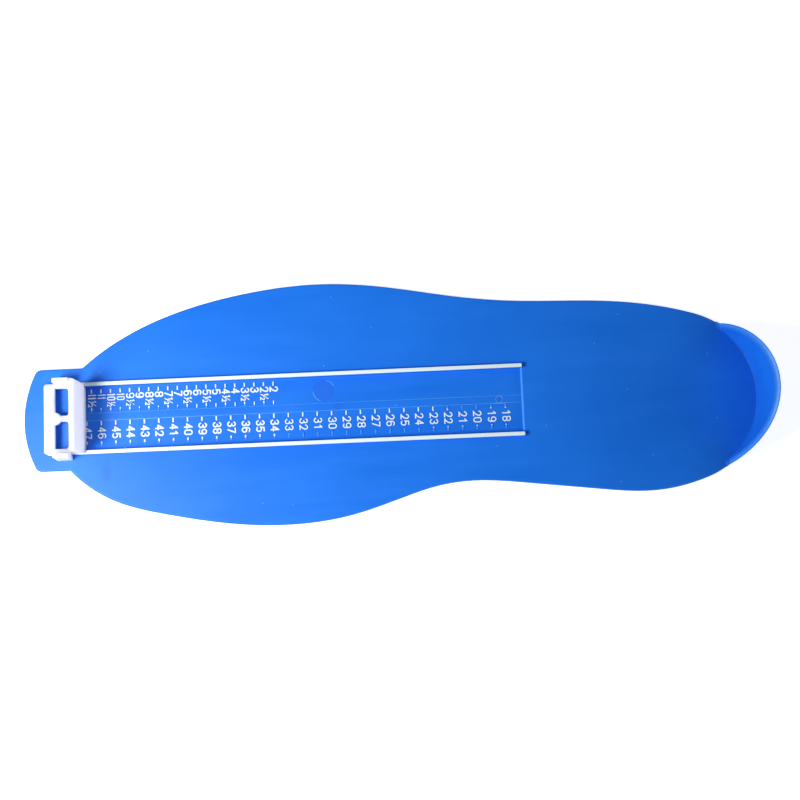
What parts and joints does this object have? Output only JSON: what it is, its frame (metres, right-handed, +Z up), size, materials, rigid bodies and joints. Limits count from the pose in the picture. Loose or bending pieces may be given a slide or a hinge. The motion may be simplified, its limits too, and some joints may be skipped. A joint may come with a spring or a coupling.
{
  "type": "foot measuring device",
  "caption": "Foot-shaped plate with a heel cup and a sunk shoe-size scale, read at a toe slider that clips over two rails.",
  "frame": {"origin": "on the flat underside, below the heel cup's inner face at the channel's middle line, where every foot length starts", "axes": "-X from heel to toe along the channel, +Y towards the UK scale, +Z up from the underside"},
  "size_m": [0.3392, 0.1111, 0.0373],
  "materials": {
    "moulded_blue_plastic": "semi-gloss injection moulding",
    "moulded_white_plastic": "semi-gloss injection moulding",
    "white_stamping_foil": "hot-stamped foil on raised relief"
  },
  "bodies": {
    "base": {"base_plate": "moulded_blue_plastic", "rail_stripe_uk_side": "white_stamping_foil", "rail_stripe_eu_side": "white_stamping_foil", "eu_ticks": "white_stamping_foil", "eu_numbers": "white_stamping_foil", "uk_ticks": "white_stamping_foil", "uk_numbers": "white_stamping_foil"},
    "slider": {"toe_slider": "moulded_white_plastic"}
  },
  "joints": [
    {"name": "toe_slide", "type": "slide", "parent": "base", "child": "slider", "axis": [1, 0, 0], "range_m": [0, 0.2009]}
  ]
}
